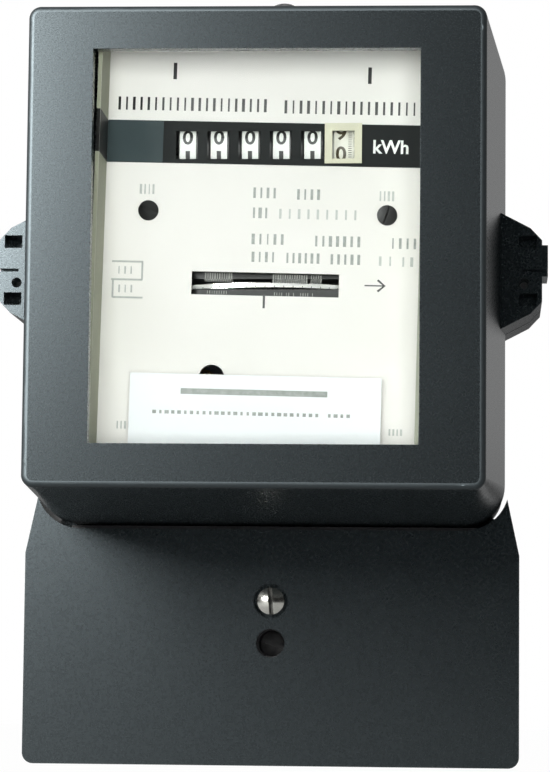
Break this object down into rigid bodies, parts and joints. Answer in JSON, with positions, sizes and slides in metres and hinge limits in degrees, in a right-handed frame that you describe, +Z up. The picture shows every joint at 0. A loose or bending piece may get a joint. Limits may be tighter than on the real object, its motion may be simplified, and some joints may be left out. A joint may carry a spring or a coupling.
{
  "type": "analog dial electric meter",
  "caption": "Wall-mounted single-phase disc electricity meter: black moulded housing, glass window over an off-white dial with number drums, spinning disc and a long terminal cover.",
  "frame": {"origin": "centre of the round-cornered housing on its back face, in the wall plane", "axes": "+Z up, +Y into the wall, +X to the right as seen from the front"},
  "size_m": [0.1486, 0.115, 0.2182],
  "materials": {
    "black_moulding": "satin moulded phenolic",
    "block_moulding": "matt moulded",
    "black_steel": "black enamel",
    "zinc_steel": "zinc plated",
    "felt": "felt",
    "dark_screw": "blackened",
    "bright_screw": "nickel plated",
    "clear_glass": "clear",
    "rubber_seal": "matt",
    "spring_steel": "bright",
    "brass_metal": "machined",
    "cast_frame": "die cast",
    "lamination": "varnished sheet edges",
    "bobbin_moulding": "moulded",
    "coil_tape": "varnished tape",
    "enamelled_copper": "enamelled wire",
    "lead_cover": "plastic cover",
    "magnet_alloy": "ground and cast",
    "disc_aluminium": "bright turned",
    "spindle_steel": "ground",
    "register_steel": "dark plated",
    "dial_paint": "off-white enamel",
    "band_paint": "black enamel",
    "cream_frame": "moulded",
    "label_white": "plain",
    "drum_plastic": "moulded",
    "pinion_plastic": "moulded"
  },
  "bodies": {
    "base": {"base_housing": "black_moulding", "block_screw": "dark_screw", "brake_magnet": "magnet_alloy", "core_screws": "zinc_steel", "cover_gasket": "felt", "current_coils": "enamelled_copper", "current_core": "lamination", "current_leads": "enamelled_copper", "decimal_frame": "cream_frame", "dial_arms": "register_steel", "dial_plate": "dial_paint", "dial_plate_screws": "dark_screw", "drum_shaft": "spindle_steel", "frame_screws": "zinc_steel", "hanging_lug": "black_steel", "label_plate": "label_white", "link_screw": "zinc_steel", "lower_bearing": "brass_metal", "lug_rivets": "zinc_steel", "magnet_bracket": "zinc_steel", "movement_frame": "cast_frame", "movement_screws": "zinc_steel", "pinion_shaft": "spindle_steel", "register_frame": "register_steel", "register_mask": "band_paint", "terminal_block": "block_moulding", "terminal_bodies": "brass_metal", "terminal_screws": "zinc_steel", "upper_bearing": "brass_metal", "voltage_bobbin": "bobbin_moulding", "voltage_coil": "coil_tape", "voltage_core": "lamination", "voltage_leads": "lead_cover"},
    "meter_cover": {"meter_cover": "black_moulding", "cover_seal_screws": "dark_screw", "window_glass": "clear_glass", "glass_seal": "rubber_seal", "glass_clips": "spring_steel"},
    "terminal_cover": {"terminal_cover": "black_moulding"},
    "terminal_cover_screw": {"terminal_cover_screw": "bright_screw"},
    "voltage_link": {"voltage_link": "brass_metal"},
    "low_load_lever": {"low_load_lever": "brass_metal"},
    "rotor": {"rotor_disc": "disc_aluminium", "spindle": "spindle_steel", "worm": "brass_metal"},
    "wheel_set": {"worm_wheel": "brass_metal", "wheel_shaft": "spindle_steel"},
    "idler_set": {"idler_gear": "brass_metal", "idler_shaft": "spindle_steel"},
    "drum_1": {"number_drum_1": "drum_plastic"},
    "drum_2": {"number_drum_2": "drum_plastic"},
    "drum_3": {"number_drum_3": "drum_plastic"},
    "drum_4": {"number_drum_4": "drum_plastic"},
    "drum_5": {"number_drum_5": "drum_plastic"},
    "drum_6": {"number_drum_6": "drum_plastic"},
    "pinion_1": {"transfer_pinion_1": "pinion_plastic"},
    "pinion_2": {"transfer_pinion_2": "pinion_plastic"},
    "pinion_3": {"transfer_pinion_3": "pinion_plastic"},
    "pinion_4": {"transfer_pinion_4": "pinion_plastic"},
    "pinion_5": {"transfer_pinion_5": "pinion_plastic"}
  },
  "joints": [
    {"name": "rotor_spin", "type": "hinge", "parent": "base", "child": "rotor", "pos_m": [0.0008, -0.0465, -0.0066], "axis": [0, 0, 1], "continuous": true},
    {"name": "wheel_spin", "type": "hinge", "parent": "base", "child": "wheel_set", "pos_m": [0.0008, -0.0595, 0.016], "axis": [-1, 0, 0], "continuous": true},
    {"name": "idler_spin", "type": "hinge", "parent": "base", "child": "idler_set", "pos_m": [0.0274, -0.07112, 0.02087], "axis": [-1, 0, 0], "continuous": true},
    {"name": "drum_1_spin", "type": "hinge", "parent": "base", "child": "drum_1", "pos_m": [0.0212, -0.0784, 0.0298], "axis": [-1, 0, 0], "continuous": true},
    {"name": "drum_2_spin", "type": "hinge", "parent": "base", "child": "drum_2", "pos_m": [0.013, -0.0784, 0.0298], "axis": [-1, 0, 0], "continuous": true},
    {"name": "drum_3_spin", "type": "hinge", "parent": "base", "child": "drum_3", "pos_m": [0.0048, -0.0784, 0.0298], "axis": [-1, 0, 0], "continuous": true},
    {"name": "drum_4_spin", "type": "hinge", "parent": "base", "child": "drum_4", "pos_m": [-0.0034, -0.0784, 0.0298], "axis": [-1, 0, 0], "continuous": true},
    {"name": "drum_5_spin", "type": "hinge", "parent": "base", "child": "drum_5", "pos_m": [-0.0116, -0.0784, 0.0298], "axis": [-1, 0, 0], "continuous": true},
    {"name": "drum_6_spin", "type": "hinge", "parent": "base", "child": "drum_6", "pos_m": [-0.0198, -0.0784, 0.0298], "axis": [-1, 0, 0], "continuous": true},
    {"name": "pinion_1_spin", "type": "hinge", "parent": "base", "child": "pinion_1", "pos_m": [0.0171, -0.0735, 0.03829], "axis": [-1, 0, 0], "continuous": true},
    {"name": "pinion_2_spin", "type": "hinge", "parent": "base", "child": "pinion_2", "pos_m": [0.0089, -0.0735, 0.03829], "axis": [-1, 0, 0], "continuous": true},
    {"name": "pinion_3_spin", "type": "hinge", "parent": "base", "child": "pinion_3", "pos_m": [0.0007, -0.0735, 0.03829], "axis": [-1, 0, 0], "continuous": true},
    {"name": "pinion_4_spin", "type": "hinge", "parent": "base", "child": "pinion_4", "pos_m": [-0.0075, -0.0735, 0.03829], "axis": [-1, 0, 0], "continuous": true},
    {"name": "pinion_5_spin", "type": "hinge", "parent": "base", "child": "pinion_5", "pos_m": [-0.0157, -0.0735, 0.03829], "axis": [-1, 0, 0], "continuous": true},
    {"name": "meter_cover_lift", "type": "slide", "parent": "base", "child": "meter_cover", "axis": [0, -1, 0], "range_m": [0, 0.12]},
    {"name": "terminal_cover_lift", "type": "slide", "parent": "base", "child": "terminal_cover", "axis": [0, -1, 0], "range_m": [0, 0.06]},
    {"name": "cover_screw_turn", "type": "hinge", "parent": "terminal_cover", "child": "terminal_cover_screw", "pos_m": [0, -0.035, -0.0877], "axis": [0, -1, 0], "continuous": true},
    {"name": "voltage_link_slide", "type": "slide", "parent": "base", "child": "voltage_link", "axis": [0, 0, -1], "range_m": [0, 0.004]},
    {"name": "low_load_lever_turn", "type": "hinge", "parent": "base", "child": "low_load_lever", "pos_m": [-0.034, -0.0368, -0.026], "axis": [0, -1, 0], "range_deg": [-12, 12]}
  ],
  "couplings": [
    {"joint": "wheel_spin", "follows": "rotor_spin", "ratio": 0.02},
    {"joint": "idler_spin", "follows": "rotor_spin", "ratio": -0.008},
    {"joint": "drum_1_spin", "follows": "rotor_spin", "ratio": 0.0026667},
    {"joint": "drum_2_spin", "follows": "rotor_spin", "ratio": 0.00026667},
    {"joint": "drum_3_spin", "follows": "rotor_spin", "ratio": 0.000026667},
    {"joint": "drum_4_spin", "follows": "rotor_spin", "ratio": 0.0000026667},
    {"joint": "drum_5_spin", "follows": "rotor_spin", "ratio": 0.00000026667},
    {"joint": "drum_6_spin", "follows": "rotor_spin", "ratio": 0.000000026667},
    {"joint": "pinion_1_spin", "follows": "rotor_spin", "ratio": -0.00066667},
    {"joint": "pinion_2_spin", "follows": "rotor_spin", "ratio": -0.000066667},
    {"joint": "pinion_3_spin", "follows": "rotor_spin", "ratio": -0.0000066667},
    {"joint": "pinion_4_spin", "follows": "rotor_spin", "ratio": -0.00000066667},
    {"joint": "pinion_5_spin", "follows": "rotor_spin", "ratio": -0.000000066667}
  ]
}
